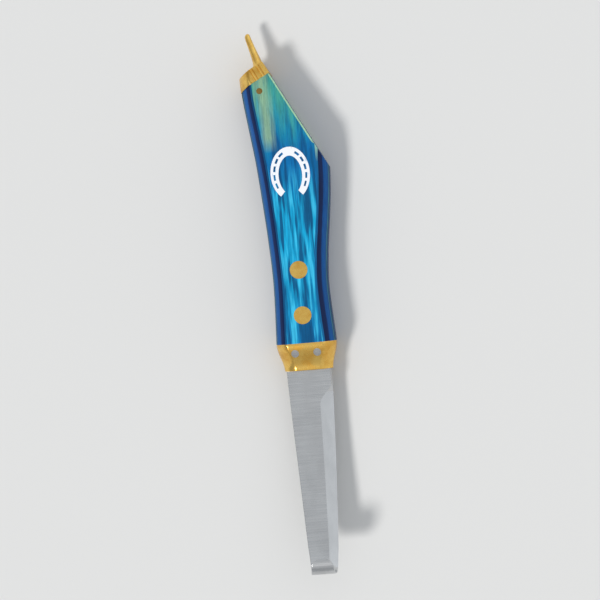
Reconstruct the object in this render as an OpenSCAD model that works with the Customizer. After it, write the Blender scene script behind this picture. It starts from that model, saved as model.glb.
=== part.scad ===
// Farrier's hoof knife: a hooked blade, a laminated handle on a half-length tang,
// and a brass cap with a hoof pick on the butt.
// The knife lies on its back scale. +Y points to the butt, and +Z is up, the way the
// hook curls. The origin is under the centre of the knife's box, on the surface.

/* [Overall] */
// Length from the bend of the hook to the tip of the pick
overall_l = 216; // [208:1:226]
// Length from the handle's front face to the tip of the pick
handle_l = 125; // [123:1:127]
// Thickness of the handle between its flat faces
handle_t = 18; // [16:0.5:20]

/* [Handle] */
// Thickness of the core, which is also that of the tang
core_t = 2.8; // [2:0.1:3.2]
// How far in from the side the rounding of a scale starts
edge_w = 5; // [2:0.1:5]
// How far down from the face the rounding of a scale ends
edge_h = 6.6; // [3:0.1:6.8]
// How flat the rounding is: 1 makes it an ellipse and 2 would make it a plain bevel
edge_power = 1.5; // [1:0.1:1.8]
// How much each face falls away from the belly to the nose
nose_drop = 2.2; // [0:0.1:2.6]
// Angle between the slanted cut of the belly and the knife's length
cut_angle = 28; // [26:1:30]
// Width across the nose, along the foot of the cap
nose_w = 13.6; // [13:0.1:14]

/* [Butt cap] */
// Height of the cap's band
band_h = 5.4; // [4:0.1:6]
// How far the band stands proud of the wood
band_proud = 0.3; // [0.1:0.1:0.5]
// Height of the pick above the band
pick_h = 13.6; // [10:0.1:16]
// Width of the pick near its tip
pick_tip_w = 2.2; // [1.6:0.1:2.6]
// Number of file-cut flutes on each face of the band
flute_count = 4; // [1:1:4]
// Diameter of the cross pin that holds the cap
cap_pin_d = 2.4; // [2:0.1:3]

/* [Bolster] */
// Length of the bolster
bolster_l = 11; // [9:0.5:13]
// Width of the bolster where the blade leaves it
bolster_nose_w = 19.4; // [18.8:0.2:21]
// Thickness of the bolster where the blade leaves it
bolster_nose_t = 9; // [7:0.5:12]
// Diameter of each pin through the bolster and tang
bolster_pin_d = 3; // [2:0.1:3.5]

/* [Blade] */
// Width of the blade at the bolster
blade_w = 18; // [16:0.5:18.5]
// Width of the blade where the hook starts
hook_w = 12; // [10:0.5:14]
// Width of the blade near the end of the hook
hook_end_w = 8.4; // [6:0.2:9]
// Thickness of the blade at the end of the hook
hook_end_t = 1.4; // [1:0.1:1.8]
// Radius of the middle of the steel round the hook
hook_r = 5; // [4:0.1:6]
// Rise of the blade's bow where the hook starts to bend
bow_angle = 10; // [8:0.5:12]
// Direction of the steel at the end of the hook
hook_end_angle = 192; // [160:1:200]
// Width of the ground bevel along the cutting edge
bevel_w = 5.5; // [3:0.1:6]

/* [Tang and rivets] */
// Length of the tang inside the handle
tang_l = 46; // [44:1:50]
// Width of the tang at the bolster
tang_w = 15; // [13:0.5:15]
// Width of the tang at its end
tang_end_w = 11; // [9:0.5:12]
// Diameter of a rivet's head
rivet_head_d = 7; // [6:0.1:8]
// Diameter of the hollow half of a rivet
rivet_tube_d = 5; // [4.6:0.1:5.2]
// Diameter of the solid half's shank
rivet_shank_d = 3.2; // [2.6:0.1:3.4]
// Distance from the handle's front face to the first rivet
rivet_first = 11; // [9:0.5:13]
// Distance between the two rivets
rivet_pitch = 18; // [16:0.5:20]

/* [Hidden] */

brass = [0.74, 0.58, 0.28];
steel = [0.72, 0.73, 0.74];
wood = [0.14, 0.55, 0.66];
ply = [0.05, 0.13, 0.33];

// Running room on each side: round pins and the tang's faces, and round an outline
gap = 0.03;
slot_gap = 0.1;
mid_z = handle_t / 2;
handle_y = overall_l / 2 - handle_l;
bolster_y = handle_y - bolster_l;
tip_y = -overall_l / 2;

// Half outlines of the handle: distance from its front face, distance from the
// centre line. The spine is the long straighter side, the belly the swelled one.
spine_knots = [
    [0, 10.7], [24, 9.8], [42, 10.4], [60, 11.6], [74, 12.8], [89, 14.7], [101.6, 16], [116, 16.4]
];
belly_knots = [
    [0, 13.3], [22, 12.2], [36, 13.1], [50, 14.9], [60, 16], [70, 16.6], [90, 16.6], [116, 16.6]
];
blade_x = (belly_knots[0][1] - spine_knots[0][1]) / 2;

// Slope of the curve at knot i, as the slope between its neighbours
function knot_slope(k, i) =
    let (a = max(i - 1, 0), b = min(i + 1, len(k) - 1))
    (k[b][1] - k[a][1]) / (k[b][0] - k[a][0]);

// Smooth curve through the knots
function curve(k, s) =
    let (i = max([for (j = [0 : len(k) - 2]) if (j == 0 || s >= k[j][0]) j]),
         span = k[i + 1][0] - k[i][0],
         u = (s - k[i][0]) / span)
    (2 * pow(u, 3) - 3 * u * u + 1) * k[i][1]
    + (3 * u * u - 2 * pow(u, 3)) * k[i + 1][1]
    + (pow(u, 3) - 2 * u * u + u) * span * knot_slope(k, i)
    + (pow(u, 3) - u * u) * span * knot_slope(k, i + 1);

function spine_x(y) = -curve(spine_knots, y - handle_y);
function belly_x(y) = curve(belly_knots, y - handle_y);
function smooth(u) = let (v = min(max(u, 0), 1)) v * v * (3 - 2 * v);
function mix(a, b, u) = a + (b - a) * u;

// How far the pick's tip leans out from the line of the slanted cut
pick_lean = 1.9;

// The corner where the slanted cut meets the foot of the cap, and the directions
// there: local +Y runs along the cut to the pick, local -X across to the spine.
nose_top = band_h + pick_h;
nose_y = overall_l / 2 - nose_top * cos(cut_angle) - (pick_lean - pick_tip_w / 2) * sin(cut_angle);
nose_x = nose_w * cos(cut_angle) + spine_x(nose_y - nose_w * sin(cut_angle));
taper_y = handle_y + 60;
taper_bow = 1.5;

// Half the handle's thickness at y
function half_t(y) =
    handle_t / 2 - nose_drop * pow(max(y - taper_y, 0) / (nose_y - taper_y), taper_bow);

// One closed solid through rings of points that all have the same count
module skin(rings) {
    n = len(rings);
    m = len(rings[0]);
    polyhedron(
        points = [for (ring = rings) each ring],
        faces = concat(
            [[for (j = [0 : m - 1]) j]],
            [[for (j = [m - 1 : -1 : 0]) (n - 1) * m + j]],
            [for (i = [0 : n - 2], j = [0 : m - 1])
                let (a = i * m + j, b = i * m + (j + 1) % m)
                each [[a, a + m, b], [b, a + m, b + m]]]
        )
    );
}

// Puts its children in the frame of the nose
module at_nose() {
    translate([nose_x, nose_y, 0]) rotate([0, 0, cut_angle]) children();
}

edge_steps = 9;

// How far in and how far down the rounding has come after i of its steps
function edge_in(i) = edge_w * (1 - pow(cos(90 * i / edge_steps), edge_power));
function edge_down(i, drop) = drop * (1 - pow(sin(90 * i / edge_steps), edge_power));

// Section at y between two sides, with rounded corners edge_w wide and drop deep
function rounded_ring(y, spine, belly, top, drop) =
    let (upper = concat(
            [for (i = [0 : edge_steps]) [spine + edge_in(i), y, top - edge_down(i, drop)]],
            [for (i = [edge_steps : -1 : 0]) [belly - edge_in(i), y, top - edge_down(i, drop)]]))
    concat(upper, [for (i = [len(upper) - 1 : -1 : 0]) [upper[i][0], y, -upper[i][2]]]);

// Section of the handle at y, standing out by grow all round
function handle_ring(y, grow) =
    rounded_ring(y, spine_x(y) - grow, belly_x(y) + grow, half_t(y) + grow, edge_h);

station_l = 2.5;
blank_l = 115;
function stations(from, to) = [for (i = [0 : ceil((to - from) / station_l)])
    mix(from, to, i / ceil((to - from) / station_l))];

// The handle's outside from a station to past the nose, before the nose is cut
module handle_blank(from, grow) {
    skin([for (y = stations(from, handle_y + blank_l)) handle_ring(y, grow)]);
}

// What is cut away past the foot of the cap and past the slanted cut
module nose_waste() {
    reach = 60;
    at_nose() {
        translate([-reach, 0, -reach / 2]) cube([2 * reach, reach, reach]);
        translate([0, -reach, -reach / 2]) cube([reach, 2 * reach, reach]);
    }
}

function rivet_y(i) = handle_y + rivet_first + i * rivet_pitch;
rivet_head_t = 1.8;

// Place of the cap's cross pin in the nose frame. The tenon is centred on it.
cap_pin_x = -nose_w / 2 - 0.2;
cap_pin_y = -4.1;

// The cap's cross pin, or its bore with room round it
module cap_pin_rod(room) {
    at_nose() translate([cap_pin_x, cap_pin_y, -handle_t])
        cylinder(h = 2 * handle_t, r = cap_pin_d / 2 + room, $fn = 32);
}

// Bores that the rivets and the cap's pin need in a scale
module scale_bores() {
    for (i = [0, 1]) translate([blade_x, rivet_y(i), 0]) {
        cylinder(h = handle_t, r = rivet_tube_d / 2 + gap, $fn = 48);
        translate([0, 0, handle_t / 2 - rivet_head_t])
            cylinder(h = handle_t, r = rivet_head_d / 2 + gap, $fn = 48);
    }
    cap_pin_rod(gap);
}

// One scale, above the core
module scale_half() {
    difference() {
        handle_blank(handle_y, 0);
        translate([-50, -overall_l, core_t / 2 - 50]) cube([100, 2 * overall_l, 50]);
        nose_waste();
        scale_bores();
    }
}

module scale_front() color(wood) translate([0, 0, mid_z]) scale_half();

module scale_back() color(wood) translate([0, 0, mid_z]) mirror([0, 0, 1]) scale_half();

// Outline of the tang from the front face of the bolster, with room round it
module tang_outline(room) {
    half = tang_w / 2 + room;
    end_half = tang_end_w / 2 + room;
    end_y = handle_y + tang_l + room;
    corner = 3;
    polygon([
        [-half, bolster_y - 1], [half, bolster_y - 1], [half, handle_y], [end_half, end_y - corner],
        [end_half - corner, end_y], [corner - end_half, end_y], [-end_half, end_y - corner], [-half, handle_y]
    ]);
}

tenon_w = 8;
tenon_l = 12;

// The tenon of the cap in the nose frame, with room round it
module tenon(room) {
    translate([cap_pin_x - tenon_w / 2 - room, -tenon_l - room, -core_t / 2 - room])
        cube([tenon_w + 2 * room, tenon_l + 2 * room + 1, core_t + 2 * room]);
}

module handle_core() {
    ys = stations(handle_y, handle_y + blank_l);
    color(ply) translate([0, 0, mid_z]) difference() {
        translate([0, 0, -core_t / 2]) linear_extrude(core_t) polygon(concat(
            [for (y = ys) [belly_x(y), y]],
            [for (i = [len(ys) - 1 : -1 : 0]) [spine_x(ys[i]), ys[i]]]
        ));
        nose_waste();
        translate([blade_x, 0, -core_t]) linear_extrude(2 * core_t) tang_outline(slot_gap);
        at_nose() tenon(slot_gap);
    }
}

// Section of the bolster, where u goes from 0 at the wood to 1 at the blade
function bolster_ring(u) =
    let (e = smooth(u))
    rounded_ring(
        handle_y - u * bolster_l,
        mix(spine_x(handle_y), blade_x - bolster_nose_w / 2, e),
        mix(belly_x(handle_y), blade_x + bolster_nose_w / 2, e),
        mix(handle_t, bolster_nose_t, e) / 2,
        mix(edge_h, bolster_nose_t / 2 - 0.2, e)
    );

bolster_steps = 12;
module bolster_blank() {
    skin([for (i = [bolster_steps : -1 : 0]) bolster_ring(i / bolster_steps)]);
}

bolster_pin_y = handle_y - bolster_l * 0.36;
bolster_pin_offset = 4.4;

module bolster_pin_bore(side, room) {
    translate([blade_x + side * bolster_pin_offset, bolster_pin_y, -handle_t])
        cylinder(h = 2 * handle_t, r = bolster_pin_d / 2 + room, $fn = 36);
}

module bolster() {
    color(brass) translate([0, 0, mid_z]) difference() {
        bolster_blank();
        translate([blade_x, 0, -core_t / 2 - gap]) linear_extrude(core_t + 2 * gap)
            tang_outline(slot_gap);
        bolster_pin_bore(-1, gap);
        bolster_pin_bore(1, gap);
    }
}

module bolster_pin(side) {
    color(steel) translate([0, 0, mid_z]) intersection() {
        bolster_blank();
        bolster_pin_bore(side, 0);
    }
}

// Hollow half of a rivet: the head on the front face and the tube down through the tang
module rivet_female(i) {
    tube_foot = 4;
    bore_foot = tube_foot - 1;
    bore_top = handle_t - 3;
    color(brass) translate([blade_x, rivet_y(i), 0]) difference() {
        union() {
            translate([0, 0, handle_t - rivet_head_t])
                cylinder(h = rivet_head_t, r = rivet_head_d / 2, $fn = 48);
            translate([0, 0, tube_foot])
                cylinder(h = handle_t - tube_foot - 1, r = rivet_tube_d / 2, $fn = 48);
        }
        translate([0, 0, bore_foot])
            cylinder(h = bore_top - bore_foot, r = rivet_shank_d / 2 + gap, $fn = 36);
    }
}

// Solid half of a rivet: the head on the back face and the shank up into the tube
module rivet_male(i) {
    shank_l = handle_t - 4;
    color(brass) translate([blade_x, rivet_y(i), 0]) {
        cylinder(h = rivet_head_t, r = rivet_head_d / 2, $fn = 48);
        cylinder(h = shank_l, r = rivet_shank_d / 2, $fn = 36);
    }
}

// The pick gets wider and thicker down to its root, where it also flares into the band
pick_taper = 1.3;
pick_root_half_t = 2.6;
pick_tip_half_t = 1.1;
flare_l = 1.4;
flare_w = 1.9;
flare_half_t = 1.6;

// Outer side, width and half thickness of the pick, v above the foot of the cap. It
// leans out from the line of the slanted cut.
function pick_u(v) = max(v - band_h, 0) / pick_h;
function pick_flare(v) = exp(-pick_u(v) * pick_h / flare_l);
function pick_outer(v) = pick_lean * mix(pick_u(v), pow(pick_u(v), 2), 0.3);
function pick_width(v) = pick_tip_w + pick_taper * (1 - pick_u(v)) + flare_w * pick_flare(v);
function pick_half_t(v) =
    mix(pick_root_half_t, pick_tip_half_t, pick_u(v)) + flare_half_t * pick_flare(v);

// A ring of the pick; close is 0 along the pick and rises to 1 at its rounded tip
function pick_ring(v, close) =
    let (w = pick_width(v) / 2, x = pick_outer(v) - w, k = sqrt(1 - close * close))
    [for (a = [0 : 22.5 : 337.5]) [x + k * w * sin(a), v, k * pick_half_t(v) * cos(a)]];

module pick() {
    foot = 2;
    tip_r = pick_tip_w / 2;
    long = nose_top - tip_r;
    steps = 18;
    // The rings get closer together towards the tip
    skin(concat(
        [for (i = [0 : steps]) pick_ring(mix(foot, long, 1 - pow(1 - i / steps, 1.3)), 0)],
        [for (c = [0.5, 0.8, 0.98]) pick_ring(long + c * tip_r, c)]
    ));
}

flute_r = 0.75;
flute_depth = 0.5;

// The flutes follow the fall of the band's faces
module flutes() {
    pitch = nose_w / (flute_count + 0.5);
    for (i = [0 : flute_count - 1], side = [0, 1]) {
        x = -pitch * (i + 0.75);
        foot_y = nose_y + x * sin(cut_angle);
        fall = atan((half_t(foot_y) - half_t(foot_y + band_h * cos(cut_angle))) / band_h);
        mirror([0, 0, side])
            translate([x, 0, half_t(foot_y) + band_proud - flute_depth + flute_r])
            rotate([-90 - fall, 0, 0]) translate([0, 0, -1]) cylinder(h = band_h + 2, r = flute_r, $fn = 24);
    }
}

cap_blank_y = handle_y + 90;

module butt_cap() {
    reach = 30;
    color(brass) translate([0, 0, mid_z]) difference() {
        union() {
            intersection() {
                handle_blank(cap_blank_y, band_proud);
                at_nose() translate([-reach, 0, -reach / 2]) cube([reach + band_proud, band_h, reach]);
            }
            at_nose() {
                pick();
                tenon(0);
            }
        }
        at_nose() flutes();
        cap_pin_rod(gap);
    }
}

module cap_pin() {
    color(steel) translate([0, 0, mid_z]) intersection() {
        handle_blank(cap_blank_y, 0);
        cap_pin_rod(0);
    }
}

// The blade's middle line is three arcs: bow, knee and hook. The bow's radius
// brings the outside of the hook to tip_y.
knee_r = 24;
knee_angle = 26;
hook_t = 1.8;
bow_run = bolster_y - tip_y - knee_r * (sin(knee_angle) - sin(bow_angle))
    - hook_r * (1 - sin(knee_angle)) - hook_t / 2;
bow_r = bow_run / sin(bow_angle);

// [y, z] of the middle line where it has turned through angle a
function line_at(a) =
    let (bow = [bolster_y - bow_r * sin(min(a, bow_angle)), bow_r * (1 - cos(min(a, bow_angle)))],
         k = max(min(a, knee_angle), bow_angle),
         knee = knee_r * [sin(bow_angle) - sin(k), cos(bow_angle) - cos(k)],
         h = max(a, knee_angle),
         hook = hook_r * [sin(knee_angle) - sin(h), cos(knee_angle) - cos(h)])
    bow + knee + hook;

// Distance along the middle line, for the same angle
function run_at(a) = (bow_r * min(a, bow_angle) + knee_r * (max(min(a, knee_angle), bow_angle) - bow_angle)
    + hook_r * (max(a, knee_angle) - knee_angle)) * PI / 180;

blade_run = run_at(hook_end_angle);
bow_end = run_at(bow_angle);
bow_end_t = 1.9;

// The blade's width, and its half width where the end of the hook closes, at a distance
// along the blade
narrowing_power = 1.25;
tip_round = 3;
tip_fall = 0.9;
function narrowing(s) = s < bow_end
    ? mix(blade_w, hook_w, pow(s / bow_end, narrowing_power))
    : mix(hook_w, hook_end_w, (s - bow_end) / (blade_run - bow_end));
function tip_close(s) =
    let (u = max(s - (blade_run - tip_round), 0) / tip_round) sqrt(1 - tip_fall * u * u);
function blade_half(s) = narrowing(s) / 2 * tip_close(s);
function blade_t(s) = s < bow_end
    ? mix(core_t, bow_end_t, s / bow_end)
    : mix(bow_end_t, hook_end_t, (s - bow_end) / (blade_run - bow_end));

// The ground bevel starts a little off the bolster and then keeps its share of the width
plunge_start = 5;
plunge_l = 9;
bevel_min_w = 0.6;
function bevel_at(s) =
    max(bevel_min_w, bevel_w * narrowing(s) / blade_w * smooth((s - plunge_start) / plunge_l));

// A section of the blade square to its middle line: x across, up to the inside of the bend.
// The back has round corners, and the cutting edge a fine land on the outside.
back_r = 0.35;
back_arc = 0.3 * back_r;
land_w = 0.25;
land_h = 0.28;
bevel_max_share = 1.1;
function blade_ring(a) =
    let (s = run_at(a), c = line_at(a), w = blade_half(s), t = blade_t(s) / 2,
         bevel = min(bevel_at(s), bevel_max_share * w),
         outline = [
            [-w, back_r - t], [back_arc - w, back_arc - t], [back_r - w, -t],
            [0, -t], [w - land_w, -t], [w, land_h - t], [w - bevel, t], [(back_r - bevel) / 2, t],
            [back_r - w, t], [back_arc - w, t - back_arc], [-w, t - back_r]
         ])
    [for (p = outline) [blade_x + p[0], c[0] + p[1] * sin(a), c[1] + p[1] * cos(a)]];

// Turning angles of the blade's sections, closer together where it bends more
near_end_angle = hook_end_angle - 30;
blade_angles = concat(
    [for (i = [0 : 21]) bow_angle * i / 22],
    [for (i = [0 : 7]) mix(bow_angle, knee_angle, i / 8)],
    [for (i = [0 : 29]) mix(knee_angle, near_end_angle, i / 30)],
    [for (i = [0 : 8]) mix(near_end_angle, hook_end_angle, i / 8)]
);

module blade() {
    color(steel) translate([0, 0, mid_z]) union() {
        skin([for (a = blade_angles) blade_ring(a)]);
        difference() {
            translate([blade_x, 0, -core_t / 2]) linear_extrude(core_t) intersection() {
                tang_outline(0);
                translate([-tang_w, bolster_y]) square([2 * tang_w, bolster_l + tang_l + 1]);
            }
            for (i = [0, 1]) translate([blade_x, rivet_y(i), -core_t])
                cylinder(h = 2 * core_t, r = rivet_tube_d / 2 + slot_gap, $fn = 48);
            bolster_pin_bore(-1, gap);
            bolster_pin_bore(1, gap);
        }
    }
}

blade();
handle_core();
scale_front();
scale_back();
bolster();
bolster_pin(-1);  // bolster_pin_spine
bolster_pin(1);  // bolster_pin_belly
rivet_female(0);  // rivet_fore_female
rivet_male(0);  // rivet_fore_male
rivet_female(1);  // rivet_aft_female
rivet_male(1);  // rivet_aft_male
butt_cap();
cap_pin();
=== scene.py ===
"""Looks of the hoof knife: lacquered laminated wood, polished brass, ground steel and a white print."""

import math

import bmesh
import bpy
from mathutils import Matrix, Vector


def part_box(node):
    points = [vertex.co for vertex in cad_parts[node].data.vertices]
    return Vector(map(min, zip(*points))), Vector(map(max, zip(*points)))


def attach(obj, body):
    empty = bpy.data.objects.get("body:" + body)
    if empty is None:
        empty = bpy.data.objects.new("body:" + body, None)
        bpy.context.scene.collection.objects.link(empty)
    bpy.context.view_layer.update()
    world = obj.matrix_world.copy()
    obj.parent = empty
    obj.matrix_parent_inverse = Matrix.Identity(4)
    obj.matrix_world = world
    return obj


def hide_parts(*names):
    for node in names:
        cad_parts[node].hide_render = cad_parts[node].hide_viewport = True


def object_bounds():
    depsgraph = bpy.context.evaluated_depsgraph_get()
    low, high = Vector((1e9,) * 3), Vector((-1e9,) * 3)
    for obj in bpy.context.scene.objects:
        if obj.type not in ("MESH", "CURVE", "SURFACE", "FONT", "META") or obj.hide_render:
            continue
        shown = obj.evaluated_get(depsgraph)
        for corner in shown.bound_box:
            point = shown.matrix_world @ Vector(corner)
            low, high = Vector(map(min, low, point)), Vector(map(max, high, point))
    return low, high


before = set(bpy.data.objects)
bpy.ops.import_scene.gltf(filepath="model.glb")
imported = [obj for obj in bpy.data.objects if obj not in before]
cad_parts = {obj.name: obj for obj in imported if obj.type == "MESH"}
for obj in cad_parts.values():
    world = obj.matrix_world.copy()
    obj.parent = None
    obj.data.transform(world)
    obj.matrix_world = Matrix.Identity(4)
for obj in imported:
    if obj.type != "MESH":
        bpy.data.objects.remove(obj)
cad_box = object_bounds()

MM = 0.001
X, Y, Z = 0, 1, 2


def span(node, axis):
    """Lowest and highest coordinate of a CAD node along an axis, in millimetres."""
    low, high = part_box(node)
    return low[axis] / MM, high[axis] / MM


# ---- Shape, in millimetres. Places and overall sizes come from the frame. ----

# Half outlines of the handle: distance from its front face, distance from the centre line
SPINE_KNOTS = [
    (0, 10.7), (24, 9.8), (42, 10.4), (60, 11.6), (74, 12.8), (89, 14.7), (101.6, 16), (116, 16.4),
]
BELLY_KNOTS = [
    (0, 13.3), (22, 12.2), (36, 13.1), (50, 14.9), (60, 16), (70, 16.6), (90, 16.6), (116, 16.6),
]
# Width, depth and flatness of the rounding along the handle's edges
EDGE_W = 5.0
EDGE_H = 6.6
EDGE_POWER = 1.5
# Radius on the rim where the slanted cut meets the flat face
RIM_R = 0.9
# How far each face has fallen away at the nose
NOSE_DROP = 2.2
# Width across the nose, along the foot of the cap, and angle of the slanted cut beside it
NOSE_W = 13.6
CUT_ANGLE = math.radians(28)

OVERALL_L = 216
HANDLE_Y, NOSE_Y = span("scale_front", Y)
# Past the nose, where the blanks of the handle and of the cap's band end before they are cut
BLANK_END_Y = HANDLE_Y + 115
CORE_LOW, CORE_HIGH = span("handle_core", Z)
CORE_T = CORE_HIGH - CORE_LOW
MID_Z = (CORE_LOW + CORE_HIGH) / 2
HALF_T = span("scale_front", Z)[1] - MID_Z
# Where the faces start to fall away, and the power by which they do
TAPER_Y = HANDLE_Y + 60
TAPER_BOW = 1.5

# Short of the band's foot, where its blank starts
CAP_BLANK_Y = HANDLE_Y + 90
BAND_H = 5.4
BAND_PROUD = 0.3
# Width of the bevel that breaks the band's edges
BAND_EDGE = 0.25
PICK_H = 13.6
PICK_TIP_W = 2.2
# How far the pick's tip leans out, and the share of that lean that comes towards the tip
PICK_LEAN = 1.9
PICK_BEND = 0.3
PICK_TAPER = 1.3
PICK_ROOT_HALF_T = 2.6
PICK_TIP_HALF_T = 1.1
# Where the pick starts inside the band, and how much it stops short, to stay in the CAD part's box
PICK_FOOT = 2.0
PICK_SHORT = 0.03
# The pick widens at its root: about how far up, by how much in width and in half its thickness
FLARE_L = 1.4
FLARE_W = 1.9
FLARE_HALF_T = 1.6
FLUTES = 4
FLUTE_R = 0.75
FLUTE_DEPTH = 0.5
# Distance of the outer flutes from the band's ends, in flute pitches
FLUTE_MARGIN = 0.75
TENON_W = 8.0
TENON_L = 12.0
# Middle of the tenon in the frame of the nose, just on the spine's side of the band's middle
TENON_X = -NOSE_W / 2 - 0.2

BOLSTER_Y = span("bolster", Y)[0]
BOLSTER_NOSE_W = 19.4
BOLSTER_NOSE_T = 9.0
# Half of what is left flat on the bolster's side at its nose, and the radius round the nose
BOLSTER_HALF_FLAT = 0.2
BOLSTER_EDGE_R = 0.3

BLADE_W = 18.0
HOOK_W = 12.0
HOOK_END_W = 8.4
NARROWING_POWER = 1.25
BOW_END_T = 1.9
HOOK_T = 1.8
HOOK_END_T = 1.4
HOOK_R = 5.0
KNEE_R = 24.0
BOW_ANGLE = math.radians(10)
KNEE_ANGLE = math.radians(26)
HOOK_END = math.radians(192)
NEAR_HOOK_END = HOOK_END - math.radians(30)
# Length of the rounded end of the hook, and how far it closes, where 1 would make a point
TIP_ROUND = 3.0
TIP_FALL = 0.9
BEVEL_W = 5.5
BEVEL_MIN_W = 0.6
# Most that the bevel may take, as a share of half the blade's width
BEVEL_MAX_SHARE = 1.1
# Distance from the bolster where the bevel starts to widen, and how much further on it is full
PLUNGE_START = 5.0
PLUNGE_L = 9.0
# Radius of the back's corners
BACK_R = 0.35
# The fine land on the outside of the cutting edge
LAND_W = 0.25
LAND_H = 0.28
TANG_W = 15.0
TANG_END_W = 11.0
TANG_L = 46.0
TANG_CORNER = 3.0
RIVET_HEAD_D = 7.0
RIVET_TUBE_D = 5.0

# Running room on each side: round pins and the tang's faces, and round an outline
GAP = 0.03
SLOT_GAP = 0.1
# How far a cutting tool runs past what it cuts, and half the length of a boring bar
OVERRUN = 1.0
BORE_REACH = 20.0
# Points closer to a plane than this are on it
TOUCH = 0.001

# Edges that fold more than this are shaded sharp
SHARP = math.radians(32)
BLADE_SHARP = math.radians(20)
# Fine rounding on the edges of rivets and pins that fold more than the angle
PIN_EDGE = 0.2
PIN_EDGE_ANGLE = math.radians(50)


def mix(a, b, u):
    return a + (b - a) * u


def smooth(u):
    """Rises from 0 to 1 with no slope at either end."""
    v = min(max(u, 0), 1)
    return v * v * (3 - 2 * v)


def curve(knots, s):
    """Smooth curve through the knots, the same one as the CAD part's."""
    last = len(knots) - 1
    i = max([0] + [j for j in range(last) if s >= knots[j][0]])

    def slope(k):
        a, b = max(k - 1, 0), min(k + 1, last)
        return (knots[b][1] - knots[a][1]) / (knots[b][0] - knots[a][0])

    width = knots[i + 1][0] - knots[i][0]
    u = (s - knots[i][0]) / width
    ends = (2 * u**3 - 3 * u * u + 1) * knots[i][1] + (3 * u * u - 2 * u**3) * knots[i + 1][1]
    slopes = (u**3 - 2 * u * u + u) * slope(i) + (u**3 - u * u) * slope(i + 1)
    return ends + slopes * width


def spine_x(y):
    return -curve(SPINE_KNOTS, y - HANDLE_Y)


def belly_x(y):
    return curve(BELLY_KNOTS, y - HANDLE_Y)


def half_t(y):
    """Half the handle's thickness at y."""
    return HALF_T - NOSE_DROP * (max(y - TAPER_Y, 0) / (NOSE_Y - TAPER_Y)) ** TAPER_BOW


# The corner where the slanted cut meets the foot of the cap, and the directions there
NOSE_X = NOSE_W * math.cos(CUT_ANGLE) + spine_x(NOSE_Y - NOSE_W * math.sin(CUT_ANGLE))
NOSE = Vector((NOSE_X, NOSE_Y, 0))
ALONG_CUT = Vector((-math.sin(CUT_ANGLE), math.cos(CUT_ANGLE), 0))
ACROSS_CUT = Vector((math.cos(CUT_ANGLE), math.sin(CUT_ANGLE), 0))
AT_NOSE = Matrix.Translation((NOSE_X, NOSE_Y, MID_Z)) @ Matrix.Rotation(CUT_ANGLE, 4, "Z")
AT_TENON = AT_NOSE @ Matrix.Translation((TENON_X, 0, 0))

BLADE_X = (BELLY_KNOTS[0][1] - SPINE_KNOTS[0][1]) / 2


# ---- Mesh tools ----


def skin(rings):
    """Closed bmesh through rings of points that all have the same count."""
    bm = bmesh.new()
    rows = [[bm.verts.new(p) for p in ring] for ring in rings]
    count = len(rows[0])
    for low, high in zip(rows, rows[1:]):
        for j in range(count):
            k = (j + 1) % count
            bm.faces.new((low[j], high[j], high[k], low[k]))
    bm.faces.new(rows[0])
    bm.faces.new(reversed(rows[-1]))
    bmesh.ops.recalc_face_normals(bm, faces=bm.faces[:])
    return bm


def cut_away(bm, point, normal):
    """Cuts off what lies past a plane, closes the cut and returns the edges of its rim."""
    everything = bm.verts[:] + bm.edges[:] + bm.faces[:]
    made = bmesh.ops.bisect_plane(bm, geom=everything, plane_co=point, plane_no=normal, clear_outer=True)
    rim = [e for e in made["geom_cut"] if isinstance(e, bmesh.types.BMEdge)]
    bmesh.ops.edgeloop_fill(bm, edges=rim)
    bmesh.ops.recalc_face_normals(bm, faces=bm.faces[:])
    return rim


def on_plane(edge, point, normal):
    return all(abs((v.co - point).dot(normal)) < TOUCH for v in edge.verts)


def round_off(bm, edges, radius, segments):
    bmesh.ops.bevel(
        bm, geom=edges, offset=radius, segments=segments, profile=0.5, affect="EDGES", clamp_overlap=False
    )


def rod(radius, low, high, place, segments=64):
    """Round bar along the local Z of place."""
    bm = bmesh.new()
    middle = place @ Matrix.Translation((0, 0, (low + high) / 2))
    bmesh.ops.create_cone(
        bm, cap_ends=True, segments=segments, radius1=radius, radius2=radius, depth=high - low, matrix=middle
    )
    return bm


def bore(node, room):
    """Upright bar through a round CAD node, wider than the node by room all round."""
    (x0, x1), (y0, y1) = span(node, X), span(node, Y)
    place = Matrix.Translation(((x0 + x1) / 2, (y0 + y1) / 2, MID_Z))
    return rod((x1 - x0) / 2 + room, -BORE_REACH, BORE_REACH, place)


def block(low, high, place=Matrix.Identity(4)):
    """Box between two corners that are given in the frame of place."""
    bm = bmesh.new()
    size = Vector(high) - Vector(low)
    middle = (Vector(high) + Vector(low)) / 2
    bmesh.ops.create_cube(bm, size=1, matrix=place @ Matrix.Translation(middle) @ Matrix.Diagonal((*size, 1)))
    return bm


def to_object(bm, name="tool"):
    mesh = bpy.data.meshes.new(name)
    bm.to_mesh(mesh)
    bm.free()
    obj = bpy.data.objects.new(name, mesh)
    bpy.context.scene.collection.objects.link(obj)
    return obj


def combine(obj, solids, operation):
    """Joins or cuts obj with bmesh solids that don't touch each other."""
    merged = bmesh.new()
    for solid in solids:
        mesh = bpy.data.meshes.new("solid")
        solid.to_mesh(mesh)
        solid.free()
        merged.from_mesh(mesh)
        bpy.data.meshes.remove(mesh)
    tool = to_object(merged)
    modifier = obj.modifiers.new("combine", "BOOLEAN")
    modifier.operation = operation
    modifier.solver = "EXACT"
    modifier.object = tool
    evaluated = obj.evaluated_get(bpy.context.evaluated_depsgraph_get())
    mesh = bpy.data.meshes.new_from_object(evaluated)
    obj.modifiers.clear()
    obj.data = mesh
    bpy.data.objects.remove(tool)


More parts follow.
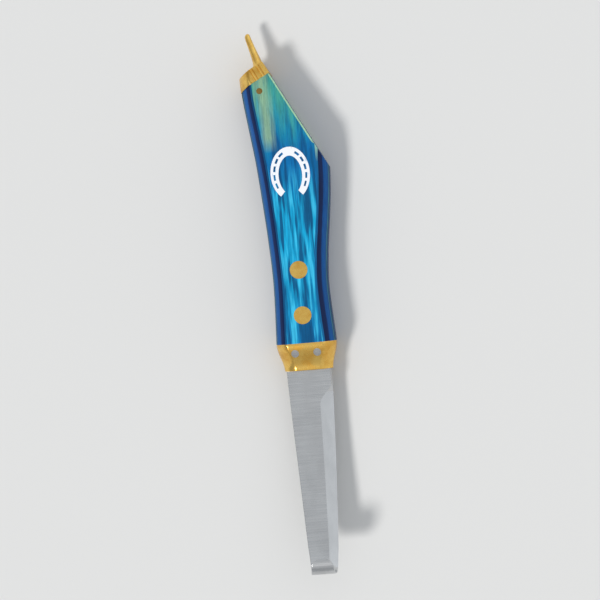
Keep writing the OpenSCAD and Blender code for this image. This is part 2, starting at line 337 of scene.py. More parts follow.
def finish_piece(obj, materials, nodes, sharp=SHARP):
    """Brings a piece from millimetres to metres, shades it and ties it to the frame."""
    obj.data.transform(Matrix.Scale(MM, 4))
    obj.data.materials.clear()
    for m in materials:
        obj.data.materials.append(m)
    for face in obj.data.polygons:
        face.use_smooth = True
    obj.data.set_sharp_from_angle(angle=sharp)
    normals = obj.modifiers.new("normals", "WEIGHTED_NORMAL")
    normals.keep_sharp = True
    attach(obj, "root")
    if nodes:
        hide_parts(*nodes)


# ---- Materials ----


def srgb(code):
    """Linear colour of a hex code."""
    parts = [int(code[i : i + 2], 16) / 255 for i in (0, 2, 4)]
    return (*[c / 12.92 if c <= 0.04045 else ((c + 0.055) / 1.055) ** 2.4 for c in parts], 1)


# Places of a Mix node's colour sockets
MIX_A, MIX_B, MIX_RESULT = 6, 7, 2


class Graph:
    """A material and short calls that add nodes to it. Positions are in millimetres."""

    def __init__(self, name):
        self.material = bpy.data.materials.new(name)
        self.material.use_nodes = True
        self.tree = self.material.node_tree
        self.shader = self.tree.nodes["Principled BSDF"]
        place = self.tree.nodes.new("ShaderNodeTexCoord")
        self.position = self.stretch(place.outputs["Object"], (1 / MM,) * 3)
        split = self.tree.nodes.new("ShaderNodeSeparateXYZ")
        self.link(self.position, split.inputs[0])
        self.x, self.y, self.z = split.outputs

    def link(self, value, socket):
        if isinstance(value, bpy.types.NodeSocket):
            self.tree.links.new(value, socket)
        else:
            socket.default_value = value

    def stretch(self, position, factors):
        """A position whose coordinates are multiplied by one factor each."""
        node = self.tree.nodes.new("ShaderNodeVectorMath")
        node.operation = "MULTIPLY"
        self.link(position, node.inputs[0])
        self.link(factors, node.inputs[1])
        return node.outputs[0]

    def math(self, operation, a, b=0.0):
        node = self.tree.nodes.new("ShaderNodeMath")
        node.operation = operation
        self.link(a, node.inputs[0])
        self.link(b, node.inputs[1])
        return node.outputs[0]

    def add(self, a, b):
        return self.math("ADD", a, b)

    def subtract(self, a, b):
        return self.math("SUBTRACT", a, b)

    def multiply(self, a, b):
        return self.math("MULTIPLY", a, b)

    def swing(self, noise, reach):
        """Noise from 0 to 1, turned into a shift of up to half of reach to either side."""
        return self.multiply(self.subtract(noise, 0.5), reach)

    def off_middle(self):
        """Distance from the middle plane of the knife."""
        return self.math("ABSOLUTE", self.subtract(self.z, MID_Z))

    def noise(self, per_mm, detail=2.0, roughness=0.5):
        """Noise from 0 to 1, with so many cells per millimetre along X, Y and Z."""
        node = self.tree.nodes.new("ShaderNodeTexNoise")
        self.link(self.stretch(self.position, per_mm), node.inputs["Vector"])
        node.inputs["Scale"].default_value = 1
        node.inputs["Detail"].default_value = detail
        node.inputs["Roughness"].default_value = roughness
        return node.outputs[0]

    def spread(self, value, low, high, to_low=0.0, to_high=1.0):
        """value from low to high, carried over to to_low to to_high and held there."""
        node = self.tree.nodes.new("ShaderNodeMapRange")
        for socket, number in zip(node.inputs, (value, low, high, to_low, to_high)):
            self.link(number, socket)
        return node.outputs[0]

    def mix(self, share, a, b, blend="MIX"):
        node = self.tree.nodes.new("ShaderNodeMix")
        node.data_type = "RGBA"
        node.blend_type = blend
        self.link(share, node.inputs[0])
        self.link(a, node.inputs[MIX_A])
        self.link(b, node.inputs[MIX_B])
        return node.outputs[MIX_RESULT]

    def ramp(self, value, stops):
        """Colours at rising values."""
        low, high = stops[0][0], stops[-1][0]
        node = self.tree.nodes.new("ShaderNodeValToRGB")
        self.link(self.spread(value, low, high), node.inputs[0])
        points = node.color_ramp.elements
        while len(points) < len(stops):
            points.new(0.5)
        for point, (place, code) in zip(points, stops):
            point.position = (place - low) / (high - low)
            point.color = srgb(code)
        return node.outputs[0]

    def bump(self, height, distance_mm, strength):
        node = self.tree.nodes.new("ShaderNodeBump")
        node.inputs["Strength"].default_value = strength
        node.inputs["Distance"].default_value = distance_mm * MM
        self.link(height, node.inputs["Height"])
        self.link(node.outputs[0], self.shader.inputs["Normal"])

    def set(self, **inputs):
        for name, value in inputs.items():
            self.link(value, self.shader.inputs[name.replace("_", " ")])


# Colours of the face by distance from the front of the handle
FACE_COLOURS = [
    (0, "0a78b2"), (21, "0e98c8"), (41, "14abdb"), (55, "10a2d2"), (64, "087cb8"), (74, "046cac"),
    (82, "168cb2"), (90, "369eaa"), (101, "48a898"), (112, "5cac9e"),
]
# Colours of the plies by depth below the face, and of the core's by distance from its middle
PLY_COLOURS = [
    (0.6, "021d4a"), (2.1, "032658"), (2.35, "004f96"), (3.6, "005ca2"), (4.9, "004c8e"), (5.05, "3f8a8c"),
    (5.25, "38807f"), (5.4, "04406c"), (6.5, "06486f"), (6.65, "062856"), (7.8, "04204c"),
]
CORE_COLOURS = [(0.0, "0e3a78"), (0.4, "0b2a5a"), (1.05, "0a2450"), (1.15, "2a7f93"), (1.5, "0b2a5a")]

BRIGHT_CYAN = srgb("44cdf4")
DEEP_BLUE = srgb("04507f")
KHAKI = srgb("9cbe96")
# The pale ply: by the nose, by the blade, and where it comes out on the spine's side. By the nose its
# green is also a painted highlight along the slanted cut's rim. It is made bright there because the rim faces
# away from the sun.
PALE_GREEN_HIGHLIGHT = srgb("c2f0c0")
PALE_BLUE = srgb("0a6aa0")
SPINE_BLUE = srgb("0c4c78")
SCRATCH_BROWN = srgb("8c6428")
GROUND_LINE = srgb("d2d3d4")
STEEL_SHADE = srgb("8c8d8f")
INK_WHITE = srgb("eceef4")
RUBBED_INK = srgb("5aa3c4")
FLOOR_GREY = (0.66, 0.66, 0.655, 1)
# What the fibres, the pores and the slow shading multiply the wood's colour by. The fibres of
# the core take the tint of the pores.
FIBRE_TINT = (0.25, 0.3, 0.4, 1)
PORE_TINT = (0.3, 0.35, 0.45, 1)
SLOW_TINT = (0.2, 0.3, 0.4, 1)

# Grain of the wood and of the ink on it, in noise cells per millimetre: it runs along the handle
STREAK = (0.42, 0.016, 0.42)
FIGURE = (0.50, 0.045, 0.50)
FIBRE = (2.4, 0.06, 2.4)
PORE = (9.0, 0.3, 9.0)
SLOW = (0.09, 0.03, 0.09)
RUB = (1.1, 0.25, 1.1)
# Grain of the metals, in the same measure
TARNISH = (0.22, 0.22, 0.22)
SCRATCH = (7.0, 0.5, 3.0)
CAST_GRAIN = (14.0, 14.0, 14.0)
CLOUD = (0.12, 0.05, 0.12)
# How much rougher or smoother than its own roughness a grinding line is
ROUGH_SWING = 0.05

# How far the streaks and the fibres carry the face's colours along the handle
STREAK_REACH = 34.0
FIBRE_REACH = 12.0
# Zones by distance from the front of the handle, from and to: bright streaks fade in, dark ones
# get weaker, khaki starts and drifts to the spine, and the pale ply turns green and gets thicker, where it
# paints a highlight along the slanted cut's rim
BRIGHT_ZONE = (71, 57)
DARK_ZONE = (67, 91)
KHAKI_ZONE = (76, 82)
KHAKI_DRIFT = (79, 103)
GREEN_HIGHLIGHT_ZONE = (71, 81)
WIDE_HIGHLIGHT_ZONE = (73, 79)
# Distance of the khaki's middle from the centre line over its drift, where it fades in from
# either side, and how far the streaks fray its sides
KHAKI_OFF = (5.4, 7.8)
KHAKI_SIDE = (4.4, 1.2)
KHAKI_FRAY = -9.0

# Depths below the face where the face veneer and the pale ply end, each from and to
FACE_VENEER_END = (0.04, 0.09)
PALE_PLY_END = (0.55, 0.65)
# How much thicker the pale ply shows on the slanted cut, which widens the painted highlight along its rim
RIM_HIGHLIGHT_GAIN = 0.35
# How wavy the plies are, and the depth below the face from which they are that wavy
PLY_WAVE = 1.1
PLY_WAVE_DEPTH = 1.5
CORE_WAVE = 0.15
# Where the spine's side of the handle ends and the belly's begins, from and to
SPINE_SIDE = (-6.5, -4.0)


def wood_fibre(g):
    return g.noise(FIBRE, detail=4, roughness=0.65)


def depth_below_face(g, along):
    """How far a point lies below the level of the flat face, which falls away to the nose."""
    taper = g.math("DIVIDE", g.subtract(along, TAPER_Y - HANDLE_Y), NOSE_Y - TAPER_Y)
    taper = g.math("POWER", g.math("MAXIMUM", taper, 0.0), TAPER_BOW)
    face = g.subtract(HALF_T, g.multiply(taper, NOSE_DROP))
    return g.subtract(face, g.off_middle())


def khaki_share(g, along, streak):
    """Share of khaki on the face: a ragged patch that leans to the spine on its way to the nose."""
    off_centre = g.spread(along, *KHAKI_DRIFT, *KHAKI_OFF)
    aside = g.math("ABSOLUTE", g.add(g.x, off_centre))
    aside = g.add(aside, g.swing(streak, KHAKI_FRAY))
    return g.multiply(g.spread(aside, *KHAKI_SIDE), g.spread(along, *KHAKI_ZONE, 0.0, 0.8))


def face_veneer(g, along, streak, fibre):
    """Colour of the face: teal at the nose, cobalt round the print and cyan by the blade, in streaks."""
    shift = g.add(g.swing(streak, STREAK_REACH), g.swing(fibre, FIBRE_REACH))
    colour = g.ramp(g.add(along, shift), FACE_COLOURS)
    tone = g.add(g.multiply(streak, 0.8), g.noise(FIGURE))
    bright = g.multiply(g.spread(tone, 0.92, 1.02), g.spread(along, *BRIGHT_ZONE))
    colour = g.mix(g.multiply(bright, 0.85), colour, BRIGHT_CYAN)
    dark = g.multiply(g.spread(tone, 0.90, 0.78), g.spread(along, *DARK_ZONE, 0.9, 0.35))
    colour = g.mix(dark, colour, DEEP_BLUE)
    return g.mix(khaki_share(g, along, streak), colour, KHAKI)


def carved_plies(g, along, streak, colour):
    """Lays the pale ply and the blue ones over a face colour, by their depth below the face. By the nose the
    pale ply is also a painted highlight along the slanted cut's rim.
    """
    sunk = depth_below_face(g, along)
    waviness = g.spread(sunk, 0, PLY_WAVE_DEPTH, 0, PLY_WAVE)
    depth = g.add(sunk, g.swing(streak, waviness))
    # The pale band is widened on the slanted cut, where it stands in as a painted highlight
    thick = g.multiply(g.spread(g.x, *SPINE_SIDE), g.spread(along, *WIDE_HIGHLIGHT_ZONE))
    past_pale = g.subtract(depth, g.multiply(thick, RIM_HIGHLIGHT_GAIN))
    # Green by the nose: partly the pale ply's own colour, partly a painted highlight along the slanted cut's
    # rim
    pale = g.mix(g.spread(along, *GREEN_HIGHLIGHT_ZONE), PALE_BLUE, PALE_GREEN_HIGHLIGHT)
    pale = g.mix(g.spread(g.x, *reversed(SPINE_SIDE)), pale, SPINE_BLUE)
    colour = g.mix(g.spread(sunk, *FACE_VENEER_END), colour, pale)
    return g.mix(g.spread(past_pale, *PALE_PLY_END), colour, g.ramp(depth, PLY_COLOURS))


def lacquer(g, colour, fibre):
    """Clear lacquer over wood of this colour, with the fibres just showing through."""
    g.set(Base_Color=colour, Roughness=g.spread(fibre, 0.3, 0.7, 0.38, 0.55))
    g.set(Coat_Weight=0.3, Coat_Roughness=0.05, Coat_IOR=1.42, Specular_IOR_Level=0.05)
    g.bump(fibre, 0.02, 0.15)


def laminated_wood():
    """Dyed veneers glued parallel to the broad faces, carved through, polished and lacquered."""
    g = Graph("laminated_wood")
    along = g.subtract(g.y, HANDLE_Y)
    streak = g.noise(STREAK, detail=3, roughness=0.6)
    fibre = wood_fibre(g)
    colour = face_veneer(g, along, streak, fibre)
    colour = carved_plies(g, along, streak, colour)
    colour = g.mix(g.spread(fibre, 0.40, 0.60, 0.0, 0.35), colour, FIBRE_TINT, "MULTIPLY")
    pore = g.noise(PORE)
    colour = g.mix(g.spread(pore, 0.55, 0.75, 0.0, 0.5), colour, PORE_TINT, "MULTIPLY")
    slow = g.noise(SLOW)
    colour = g.mix(g.spread(slow, 0.35, 0.65, 0.0, 0.18), colour, SLOW_TINT, "MULTIPLY")
    lacquer(g, colour, fibre)
    return g.material


def core_ply():
    """The middle veneers: navy, with two thin lighter glue lines."""
    g = Graph("core_ply")
    fibre = wood_fibre(g)
    depth = g.add(g.off_middle(), g.swing(fibre, CORE_WAVE))
    colour = g.ramp(depth, CORE_COLOURS)
    colour = g.mix(g.spread(fibre, 0.4, 0.6, 0.0, 0.4), colour, PORE_TINT, "MULTIPLY")
    lacquer(g, colour, fibre)
    return g.material


def brass(name, light, dark):
    """Brass with faint tarnish and fine scratches."""
    g = Graph(name)
    tarnish = g.noise(TARNISH, detail=4, roughness=0.6)
    scratch = g.noise(SCRATCH, detail=3, roughness=0.7)
    grain = g.noise(CAST_GRAIN)
    colour = g.mix(g.spread(tarnish, 0.38, 0.66), srgb(light), srgb(dark))
    colour = g.mix(g.spread(scratch, 0.5, 0.8, 0.0, 0.25), colour, SCRATCH_BROWN)
    rough = g.add(g.spread(tarnish, 0.3, 0.7, 0.16, 0.30), g.spread(scratch, 0.4, 0.7, 0.0, 0.08))
    g.set(Base_Color=colour, Roughness=rough, Metallic=1.0)
    g.bump(g.add(scratch, grain), 0.012, 0.3)
    return g.material


def steel(name, tone, across, along, rough):
    """Ground stainless steel: across and along set the direction of the grinding lines."""
    g = Graph(name)
    lines = g.noise((across, along, along), detail=4, roughness=0.75)
    cloud = g.noise(CLOUD, detail=3)
    colour = g.mix(g.spread(lines, 0.3, 0.7), srgb(tone), GROUND_LINE)
    colour = g.mix(g.spread(cloud, 0.4, 0.7, 0.0, 0.25), colour, STEEL_SHADE)
    line_rough = g.spread(lines, 0.3, 0.7, rough - ROUGH_SWING, rough + ROUGH_SWING)
    cloud_rough = g.spread(cloud, 0.3, 0.7, 0.0, 0.06)
    g.set(Base_Color=colour, Roughness=g.add(line_rough, cloud_rough), Metallic=1.0)
    g.bump(lines, 0.006, 0.4)
    return g.material


def white_ink():
    """Screen print under the lacquer, a little rubbed."""
    g = Graph("white_ink")
    rub = g.noise(RUB, detail=4, roughness=0.7)
    colour = g.mix(g.spread(rub, 0.60, 0.72, 0.0, 0.7), INK_WHITE, RUBBED_INK)
    g.set(Base_Color=colour, Roughness=g.spread(rub, 0.3, 0.7, 0.4, 0.55))
    g.set(Coat_Weight=1.0, Coat_Roughness=0.06, Coat_IOR=1.5)
    return g.material


def floor_paint():
    g = Graph("floor_paint")
    g.set(Base_Color=FLOOR_GREY, Roughness=0.75)
    return g.material


WOOD = laminated_wood()
PLY = core_ply()
BRASS = brass("brass", "f6cc6e", "d9a64a")
DULL_BRASS = brass("dull_brass", "a5864c", "86693a")
FLAT_STEEL = steel("flat_steel", "babcbe", 0.04, 5.0, 0.24)
BEVEL_STEEL = steel("bevel_steel", "c4c6c8", 0.10, 9.0, 0.18)
PIN_STEEL = steel("pin_steel", "a09c96", 3.0, 3.0, 0.30)
INK = white_ink()


# ---- Handle ----

EDGE_STEPS = 14
STATION_L = 1.5
# The rim of the slanted cut counts as on the face down to this depth
FACE_DEPTH = 0.03
RIM_STEPS = 5


def quarter_turn(steps):
    """Angles from 0 to a right angle."""
    return [math.pi / 2 * i / steps for i in range(steps + 1)]


def edge_in(a):
    return EDGE_W * (1 - math.cos(a) ** EDGE_POWER)


def edge_down(a, drop):
    return drop * (1 - math.sin(a) ** EDGE_POWER)


def section(y, spine, belly, top, drop):
    """Upper half of a section from the spine to the belly, with edges rounded drop deep."""
    turn = quarter_turn(EDGE_STEPS)
    left = [(spine + edge_in(a), y, top - edge_down(a, drop)) for a in turn]
    right = [(belly - edge_in(a), y, top - edge_down(a, drop)) for a in reversed(turn)]
    return left + right


def both_halves(upper):
    """The whole section about the middle plane, from its upper half."""
    points = upper + [(x, y, -z) for x, y, z in reversed(upper)]
    return [(x, y, MID_Z + z) for x, y, z in points]


def stations(low, high, step):
    count = math.ceil((high - low) / step)
    return [mix(low, high, i / count) for i in range(count + 1)]


def cut_nose(bm):
    """Cuts a blank off at the foot of the cap and along the slanted cut, and returns that cut's rim."""
    cut_away(bm, NOSE, ALONG_CUT)
    return cut_away(bm, NOSE, ACROSS_CUT)


def scale_ring(y):
    """Section of a scale, from the core up."""
    core = CORE_T / 2
    upper = section(y, spine_x(y), belly_x(y), half_t(y), EDGE_H)
    ring = [(upper[0][0], y, core)] + upper + [(upper[-1][0], y, core)]
    return [(x, y, MID_Z + z) for x, y, z in ring]


def on_face_rim(edge):
    """True where the rim of the slanted cut runs along the flat face."""
    return all(v.co.z > MID_Z + half_t(v.co.y) - FACE_DEPTH for v in edge.verts)


def scale(name, nodes, mirrored):
    """The front half of the handle, or its mirror image at the back."""
    bm = skin([scale_ring(y) for y in stations(HANDLE_Y, BLANK_END_Y, STATION_L)])
    rim = cut_nose(bm)
    round_off(bm, [e for e in rim if on_face_rim(e)], RIM_R, RIM_STEPS)
    obj = to_object(bm, name)
    bores = [bore(node, GAP) for node in ("rivet_fore_female", "rivet_aft_female", "cap_pin")]
    combine(obj, bores, "DIFFERENCE")
    if mirrored:
        obj.data.transform(Matrix.Translation((0, 0, 2 * MID_Z)) @ Matrix.Diagonal((1, 1, -1, 1)))
        obj.data.flip_normals()
    finish_piece(obj, [WOOD], nodes)


def plate_ring(y, left, right, half_thick):
    """Section of a flat plate about the middle plane."""
    low, high = MID_Z - half_thick, MID_Z + half_thick
    return [(left, y, low), (left, y, high), (right, y, high), (right, y, low)]


def tang(room):
    """The flat tang from the bolster's front into the handle, with room all round."""
    half_w = TANG_W / 2 + room
    end_half_w = TANG_END_W / 2 + room
    end_y = HANDLE_Y + TANG_L + room
    outline = [
        (BOLSTER_Y, half_w), (HANDLE_Y, half_w),
        (end_y - TANG_CORNER, end_half_w), (end_y, end_half_w - TANG_CORNER),
    ]
    return skin([plate_ring(y, BLADE_X - w, BLADE_X + w, CORE_T / 2 + room) for y, w in outline])


def tenon(room, half_thick):
    """The tenon that holds the cap, with room round its outline. It runs a little into the band."""
    half_w = TENON_W / 2 + room
    return block((-half_w, -TENON_L - room, -half_thick), (half_w, OVERRUN, half_thick), AT_TENON)


def core_plate():
    """The middle plies, slotted for the tang and for the cap's tenon."""
    ys = stations(HANDLE_Y, BLANK_END_Y, STATION_L)
    bm = skin([plate_ring(y, spine_x(y), belly_x(y), CORE_T / 2) for y in ys])
    cut_nose(bm)
    obj = to_object(bm, "core_plate")
    combine(obj, [tang(SLOT_GAP), tenon(SLOT_GAP, CORE_T)], "DIFFERENCE")
    finish_piece(obj, [PLY], ["handle_core"])


# ---- Brass ----

PICK_STEPS = 48
PICK_SIDES = 32
# Angles from the pick's shoulder to its tip, in degrees
TIP_ANGLES = (12, 24, 36, 48, 60, 70, 78)
CAP_STATION_L = 1.0
# Points of the band closer together than this become one
WELD = 0.02
# Rim edges that fold less than this, in radians, are along a curve and stay as they are
FOLD = 0.3
BOLSTER_STEPS = 30


def pick_section(v):
    """Middle, half width and half thickness of the pick, v above the foot of the cap."""
    u = max(v - BAND_H, 0) / PICK_H
    flare = math.exp(-u * PICK_H / FLARE_L)
    width = PICK_TIP_W + PICK_TAPER * (1 - u) + FLARE_W * flare
    outer = PICK_LEAN * mix(u, u * u, PICK_BEND)
    half_thick = mix(PICK_ROOT_HALF_T, PICK_TIP_HALF_T, u) + FLARE_HALF_T * flare
    return outer - width / 2, width / 2, half_thick


def pick_ring(v, close):
    """A ring of the pick. close is 0 along it and rises to 1 over its rounded tip."""
    middle, half_w, half_thick = pick_section(v)
    k = math.sqrt(1 - close * close)
    turn = [2 * math.pi * j / PICK_SIDES for j in range(PICK_SIDES)]
    points = [(middle + k * half_w * math.sin(a), v, k * half_thick * math.cos(a)) for a in turn]
    return [AT_NOSE @ Vector(p) for p in points]


def pick():
    tip_r = PICK_TIP_W / 2
    shoulder = BAND_H + PICK_H - tip_r - PICK_SHORT
    rings = [pick_ring(mix(PICK_FOOT, shoulder, i / PICK_STEPS), 0) for i in range(PICK_STEPS + 1)]
    for angle in TIP_ANGLES:
        close = math.sin(math.radians(angle))
        rings.append(pick_ring(shoulder + close * tip_r, close))
    return skin(rings)


def flutes():
    """Round bars that cut the flutes, each following the fall of the band's faces."""
    pitch = NOSE_W / (FLUTES - 1 + 2 * FLUTE_MARGIN)
    for i in range(FLUTES):
        x = -pitch * (i + FLUTE_MARGIN)
        foot_y = NOSE_Y + x * math.sin(CUT_ANGLE)
        top_y = foot_y + BAND_H * math.cos(CUT_ANGLE)
        fall = math.atan((half_t(foot_y) - half_t(top_y)) / BAND_H)
        for side in (1, -1):
            z = side * (half_t(foot_y) + BAND_PROUD - FLUTE_DEPTH + FLUTE_R)
            tilt = Matrix.Rotation(-math.pi / 2 - side * fall, 4, "X")
            place = AT_NOSE @ Matrix.Translation((x, 0, z)) @ tilt
            yield rod(FLUTE_R, -OVERRUN, BAND_H + OVERRUN, place, segments=32)


def band_ring(y):
    spine, belly = spine_x(y) - BAND_PROUD, belly_x(y) + BAND_PROUD
    return both_halves(section(y, spine, belly, half_t(y) + BAND_PROUD, EDGE_H))


def cap_band():
    """The band of the cap with its edges broken, before its flutes are cut."""
    bm = skin([band_ring(y) for y in stations(CAP_BLANK_Y, BLANK_END_Y, CAP_STATION_L)])
    planes = (
        (NOSE, -ALONG_CUT),
        (NOSE + ALONG_CUT * BAND_H, ALONG_CUT),
        (NOSE + ACROSS_CUT * BAND_PROUD, ACROSS_CUT),
    )
    for point, normal in planes:
        cut_away(bm, point, normal)
    bmesh.ops.remove_doubles(bm, verts=bm.verts[:], dist=WELD)
    rims = [e for e in bm.edges if any(on_plane(e, *plane) for plane in planes)]
    round_off(bm, [e for e in rims if e.calc_face_angle() > FOLD], BAND_EDGE, 2)
    return bm


def butt_cap():
    obj = to_object(cap_band(), "cap_body")
    combine(obj, flutes(), "DIFFERENCE")
    combine(obj, [pick(), tenon(0, CORE_T / 2)], "UNION")
    combine(obj, [bore("cap_pin", GAP)], "DIFFERENCE")
    finish_piece(obj, [BRASS], ["butt_cap"])


def bolster_ring(u):
    """Section of the bolster, where u goes from 0 at the wood to 1 at the blade."""
    e = smooth(u)
    upper = section(
        mix(HANDLE_Y, BOLSTER_Y, u),
        mix(spine_x(HANDLE_Y), BLADE_X - BOLSTER_NOSE_W / 2, e),
        mix(belly_x(HANDLE_Y), BLADE_X + BOLSTER_NOSE_W / 2, e),
        mix(HALF_T, BOLSTER_NOSE_T / 2, e),
        mix(EDGE_H, BOLSTER_NOSE_T / 2 - BOLSTER_HALF_FLAT, e),
    )
    return both_halves(upper)


def bolster():
    bm = skin([bolster_ring(i / BOLSTER_STEPS) for i in range(BOLSTER_STEPS + 1)])
    front, forward = Vector((0, BOLSTER_Y, 0)), Vector((0, 1, 0))
    round_off(bm, [e for e in bm.edges if on_plane(e, front, forward)], BOLSTER_EDGE_R, 3)
    obj = to_object(bm, "bolster_body")
    half_w = TANG_W / 2 + SLOT_GAP
    low = (BLADE_X - half_w, BOLSTER_Y - OVERRUN, CORE_LOW - GAP)
    high = (BLADE_X + half_w, HANDLE_Y + OVERRUN, CORE_HIGH + GAP)
    combine(obj, [block(low, high)], "DIFFERENCE")
    combine(obj, [bore(node, GAP) for node in ("bolster_pin_spine", "bolster_pin_belly")], "DIFFERENCE")
    finish_piece(obj, [BRASS], ["bolster"])


# ---- Blade ----

TIP_Y = -OVERALL_L / 2
BOW_RUN = (
    BOLSTER_Y - TIP_Y - KNEE_R * (math.sin(KNEE_ANGLE) - math.sin(BOW_ANGLE))
    - HOOK_R * (1 - math.sin(KNEE_ANGLE)) - HOOK_T / 2
)
BOW_R = BOW_RUN / math.sin(BOW_ANGLE)
BACK_STEPS = 4
# Faces that lean this much to the cutting edge, from and to, are ground bevel
BEVEL_SLOPE = (0.15, 0.9)


def line_at(a):
    """Point (y, z) of the blade's middle line where it has turned through angle a."""
    parts = [(BOW_R, 0, BOW_ANGLE), (KNEE_R, BOW_ANGLE, KNEE_ANGLE), (HOOK_R, KNEE_ANGLE, HOOK_END)]
    y, z = BOLSTER_Y, MID_Z
    for radius, start, end in parts:
        b = min(max(a, start), end)
        y += radius * (math.sin(start) - math.sin(b))
        z += radius * (math.cos(start) - math.cos(b))
    return y, z


def run_at(a):
    """Distance along the middle line, for the same angle."""
    bow = BOW_R * min(a, BOW_ANGLE)
    knee = KNEE_R * (max(min(a, KNEE_ANGLE), BOW_ANGLE) - BOW_ANGLE)
    return bow + knee + HOOK_R * (max(a, KNEE_ANGLE) - KNEE_ANGLE)


BLADE_RUN = run_at(HOOK_END)
BOW_END = run_at(BOW_ANGLE)


def blade_size(s):
    """Width of the blade, before its end closes, and thickness, at a distance along it."""
    if s < BOW_END:
        u = s / BOW_END
        return mix(BLADE_W, HOOK_W, u**NARROWING_POWER), mix(CORE_T, BOW_END_T, u)
    u = (s - BOW_END) / (BLADE_RUN - BOW_END)
    return mix(HOOK_W, HOOK_END_W, u), mix(BOW_END_T, HOOK_END_T, u)


def blade_outline(s):
    """Half width, half thickness and bevel width at a distance along the blade."""
    width, thick = blade_size(s)
    close = max(s - (BLADE_RUN - TIP_ROUND), 0) / TIP_ROUND
    half_w = width / 2 * math.sqrt(1 - TIP_FALL * close * close)
    bevel = max(BEVEL_MIN_W, BEVEL_W * width / BLADE_W * smooth((s - PLUNGE_START) / PLUNGE_L))
    return half_w, thick / 2, min(bevel, BEVEL_MAX_SHARE * half_w)


def blade_ring(a):
    """Section of the blade square to its middle line, with a round back and a fine land at the edge."""
    y, z = line_at(a)
    w, t, bevel = blade_outline(run_at(a))
    corner = [(BACK_R * (1 - math.cos(k)), BACK_R * (1 - math.sin(k))) for k in quarter_turn(BACK_STEPS)]
    outline = [(p - w, q - t) for p, q in corner]
    outline += [(w - LAND_W, -t), (w, LAND_H - t), (w - bevel, t)]
    outline += [(p - w, t - q) for p, q in reversed(corner)]
    return [(BLADE_X + p, y + q * math.sin(a), z + q * math.cos(a)) for p, q in outline]


def blade_angles():
    """Turning angles of the blade's sections, closer together where it bends more."""
    arcs = [
        (0, BOW_ANGLE, 60),
        (BOW_ANGLE, KNEE_ANGLE, 16),
        (KNEE_ANGLE, NEAR_HOOK_END, 60),
        (NEAR_HOOK_END, HOOK_END, 16),
    ]
    return [mix(start, end, i / count) for start, end, count in arcs for i in range(count)] + [HOOK_END]


def is_bevel(face):
    low, high = BEVEL_SLOPE
    return low < face.normal.x < high and face.center.y < BOLSTER_Y * MM


def blade():
    obj = to_object(skin([blade_ring(a) for a in blade_angles()]), "blade_body")
    combine(obj, [tang(0)], "UNION")
    tube_room = (RIVET_TUBE_D - RIVET_HEAD_D) / 2 + SLOT_GAP
    holes = [bore(node, tube_room) for node in ("rivet_fore_female", "rivet_aft_female")]
    holes += [bore(node, GAP) for node in ("bolster_pin_spine", "bolster_pin_belly")]
    combine(obj, holes, "DIFFERENCE")
    finish_piece(obj, [FLAT_STEEL, BEVEL_STEEL], ["blade"], BLADE_SHARP)
    for face in obj.data.polygons:
        face.material_index = 1 if is_bevel(face) else 0


# ---- Print, fasteners ----

SHOE_X = 1.3
SHOE_Y = HANDLE_Y + 67.2
SHOE_R_X = 7.8
SHOE_R_Y = 10.6
# Half the angle of the opening between the heels
SHOE_HEEL = math.radians(34)
# Width of the shoe at its heels and at its toe, and how fast it grows between them
HEEL_W = 2.5
TOE_W = 3.5
WEB_POWER = 0.8
# Places across the shoe, from its rim in. The crease runs between the second and the third.
SHOE_LANES = (0.0, 0.34, 0.60, 1.0)
CREASE_LANE = 1
# Steps round the shoe, and those where a crease runs and where a nail's head starts
SHOE_STEPS = 84
CREASES = ((6, 35), (49, 78))
NAILS = (10, 16, 22, 28, 54, 60, 66, 72)
NAIL_L = 2
# How far the ink stands off the face, and how deep it goes
PRINT_LIFT = 0.02
PRINT_T = 0.05


def shoe_row(u):
    """Points across the horseshoe, where u goes from 0 at one heel to 1 at the other."""
    a = mix(SHOE_HEEL - math.pi / 2, 1.5 * math.pi - SHOE_HEEL, u)
    out = Vector((math.cos(a) / SHOE_R_X, math.sin(a) / SHOE_R_Y)).normalized()
    rim = Vector((SHOE_X + SHOE_R_X * math.cos(a), SHOE_Y + SHOE_R_Y * math.sin(a)))
    web = mix(HEEL_W, TOE_W, math.sin(math.pi * u) ** WEB_POWER)
    points = [rim - out * web * lane for lane in SHOE_LANES]
    return [(x, y, MID_Z + half_t(y) + PRINT_LIFT) for x, y in points]


def in_crease(step):
    """True where the crease leaves a gap in the ink, between the nails' heads."""
    nailed = any(nail <= step < nail + NAIL_L for nail in NAILS)
    return not nailed and any(start <= step < end for start, end in CREASES)


def horseshoe_print():
    """A plain horseshoe in white ink, laid on the face of the front scale."""
    bm = bmesh.new()
    rows = [[bm.verts.new(p) for p in shoe_row(i / SHOE_STEPS)] for i in range(SHOE_STEPS + 1)]
    for step, (low, high) in enumerate(zip(rows, rows[1:])):
        for lane in range(len(SHOE_LANES) - 1):
            if lane != CREASE_LANE or not in_crease(step):
                bm.faces.new((low[lane], high[lane], high[lane + 1], low[lane + 1]))
    made = bmesh.ops.extrude_face_region(bm, geom=bm.faces[:])
    down = [v for v in made["geom"] if isinstance(v, bmesh.types.BMVert)]
    bmesh.ops.translate(bm, verts=down, vec=(0, 0, -PRINT_T))
    bmesh.ops.recalc_face_normals(bm, faces=bm.faces[:])
    obj = to_object(bm, "horseshoe_print")
    finish_piece(obj, [INK], [])


def paint_node(node, material):
    """Gives a CAD node its material and a fine rounded edge."""
    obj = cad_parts[node]
    obj.data.materials.clear()
    obj.data.materials.append(material)
    edge = obj.modifiers.new("edge", "BEVEL")
    edge.width = PIN_EDGE * MM
    edge.segments = 2
    edge.limit_method = "ANGLE"
    edge.angle_limit = PIN_EDGE_ANGLE


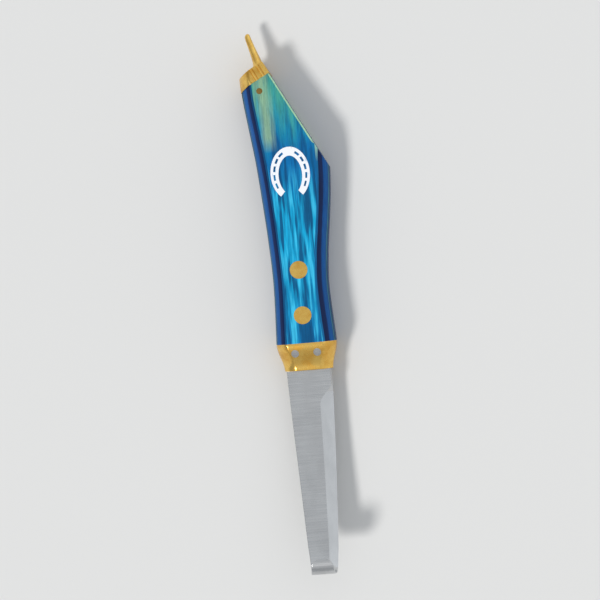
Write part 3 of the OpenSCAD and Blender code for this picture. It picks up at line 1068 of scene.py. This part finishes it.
def build():
    scale("front_scale", ["scale_front"], False)
    scale("back_scale", ["scale_back"], True)
    core_plate()
    butt_cap()
    bolster()
    blade()
    horseshoe_print()
    for node in ("rivet_fore_female", "rivet_fore_male", "rivet_aft_female", "rivet_aft_male"):
        paint_node(node, BRASS)
    paint_node("cap_pin", DULL_BRASS)
    for node in ("bolster_pin_spine", "bolster_pin_belly"):
        paint_node(node, PIN_STEEL)


# ---- Studio, in metres ----

FLOOR_SIZE = 40
# Keeps the floor just clear of the face that the knife lies on
FLOOR_GAP = 0.00001
KEY_ENERGY = 2.1
KEY_SPREAD = math.radians(11)
KEY_COLOUR = (1.0, 0.98, 0.95)
KEY_DIRECTION = Vector((0.33, 0.30, -0.50))
# The surroundings brighten in this direction, all the way across, from one strength to the
# other. The reach is about the direction's length
BRIGHT_SIDE = (0.35, 0.22, 0.0)
BRIGHT_REACH = 0.41
DIM_STRENGTH = 0.35
BRIGHT_STRENGTH = 1.00
SKY_COLOUR = (0.94, 0.97, 1.0, 1)
# Focal length and width of the camera's sensor, both in millimetres
LENS = 100
SENSOR = 36
# Share of the picture's height that the knife fills
FILL = 0.90
# How far the camera turns about its own axis, and how far it tips to the belly's side
CAMERA_TURN = math.radians(-5)
CAMERA_TIP = math.radians(5)


def add_floor():
    bpy.ops.mesh.primitive_plane_add(size=FLOOR_SIZE, location=(0, 0, -FLOOR_GAP))
    floor = bpy.context.object
    floor.name = "floor"
    floor.data.materials.append(floor_paint())


def add_key_light():
    """Soft sun from the lower left."""
    data = bpy.data.lights.new("key", "SUN")
    data.energy = KEY_ENERGY
    data.angle = KEY_SPREAD
    data.color = KEY_COLOUR
    light = bpy.data.objects.new("key", data)
    light.rotation_euler = KEY_DIRECTION.to_track_quat("-Z", "Y").to_euler()
    bpy.context.scene.collection.objects.link(light)


def add_world():
    """Pale surroundings that are dimmer on the side that the key light comes from."""
    world = bpy.data.worlds.new("studio")
    world.use_nodes = True
    tree = world.node_tree
    place = tree.nodes.new("ShaderNodeTexCoord")
    across = tree.nodes.new("ShaderNodeVectorMath")
    across.operation = "DOT_PRODUCT"
    across.inputs[1].default_value = BRIGHT_SIDE
    tree.links.new(place.outputs["Generated"], across.inputs[0])
    ramp = tree.nodes.new("ShaderNodeMapRange")
    limits = (-BRIGHT_REACH, BRIGHT_REACH, DIM_STRENGTH, BRIGHT_STRENGTH)
    for socket, number in zip(list(ramp.inputs)[1:], limits):
        socket.default_value = number
    tree.links.new(across.outputs["Value"], ramp.inputs[0])
    background = tree.nodes["Background"]
    tree.links.new(ramp.outputs[0], background.inputs["Strength"])
    background.inputs["Color"].default_value = SKY_COLOUR
    bpy.context.scene.world = world


def add_camera():
    """Almost straight above the knife, whose butt leans left and whose belly side shows a little."""
    low, high = cad_box
    distance = (high.y - low.y) / FILL * LENS / SENSOR
    data = bpy.data.cameras.new("camera")
    data.lens = LENS
    data.sensor_width = SENSOR
    camera = bpy.data.objects.new("camera", data)
    middle = Matrix.Translation(((low.x + high.x) / 2, (low.y + high.y) / 2, MID_Z * MM))
    turn = Matrix.Rotation(CAMERA_TIP, 4, "Y") @ Matrix.Rotation(CAMERA_TURN, 4, "Z")
    camera.matrix_world = middle @ turn @ Matrix.Translation((0, 0, distance))
    bpy.context.scene.collection.objects.link(camera)
    bpy.context.scene.camera = camera


build()
add_floor()
add_world()
add_key_light()
add_camera()
bpy.context.scene.view_settings.view_transform = "Standard"
